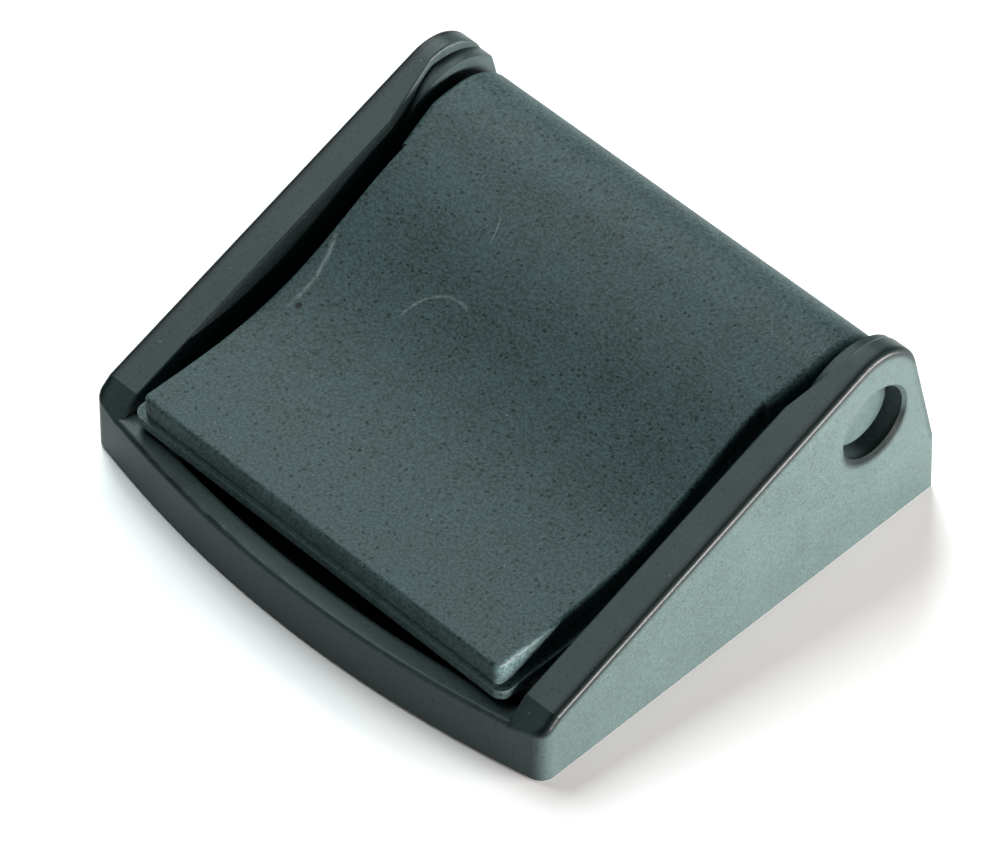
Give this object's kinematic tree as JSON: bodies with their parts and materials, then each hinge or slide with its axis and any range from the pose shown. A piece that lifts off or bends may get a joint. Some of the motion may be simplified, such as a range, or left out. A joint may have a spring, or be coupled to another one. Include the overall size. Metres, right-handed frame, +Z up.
{
  "type": "webbing cam buckle",
  "caption": "Moulded cam buckle for flat webbing: a hinged thumb lever with a toothed cam clamps the strap against the floor of a wedge-sided frame.",
  "frame": {"origin": "middle of the footprint, on the base of the frame", "axes": "+X across the belt, along the hinge axis, to the right seen from the lever's free end; +Y along the belt from the lever's free end to the hinge; +Z up, out of the base"},
  "size_m": [0.0604, 0.056, 0.0236],
  "materials": {
    "frame_nylon": "fine spark-eroded grain",
    "lever_nylon": "fine spark-eroded grain",
    "pin_acetal": "smooth, slightly waxy"
  },
  "bodies": {
    "frame": {"frame": "frame_nylon", "pivot_pin": "pin_acetal"},
    "lever": {"cam_lever": "lever_nylon"}
  },
  "joints": [
    {"name": "lever_hinge", "type": "hinge", "parent": "frame", "child": "lever", "pos_m": [0, 0.01935, 0.0151], "axis": [-1, 0, 0], "range_deg": [0, 120]}
  ]
}
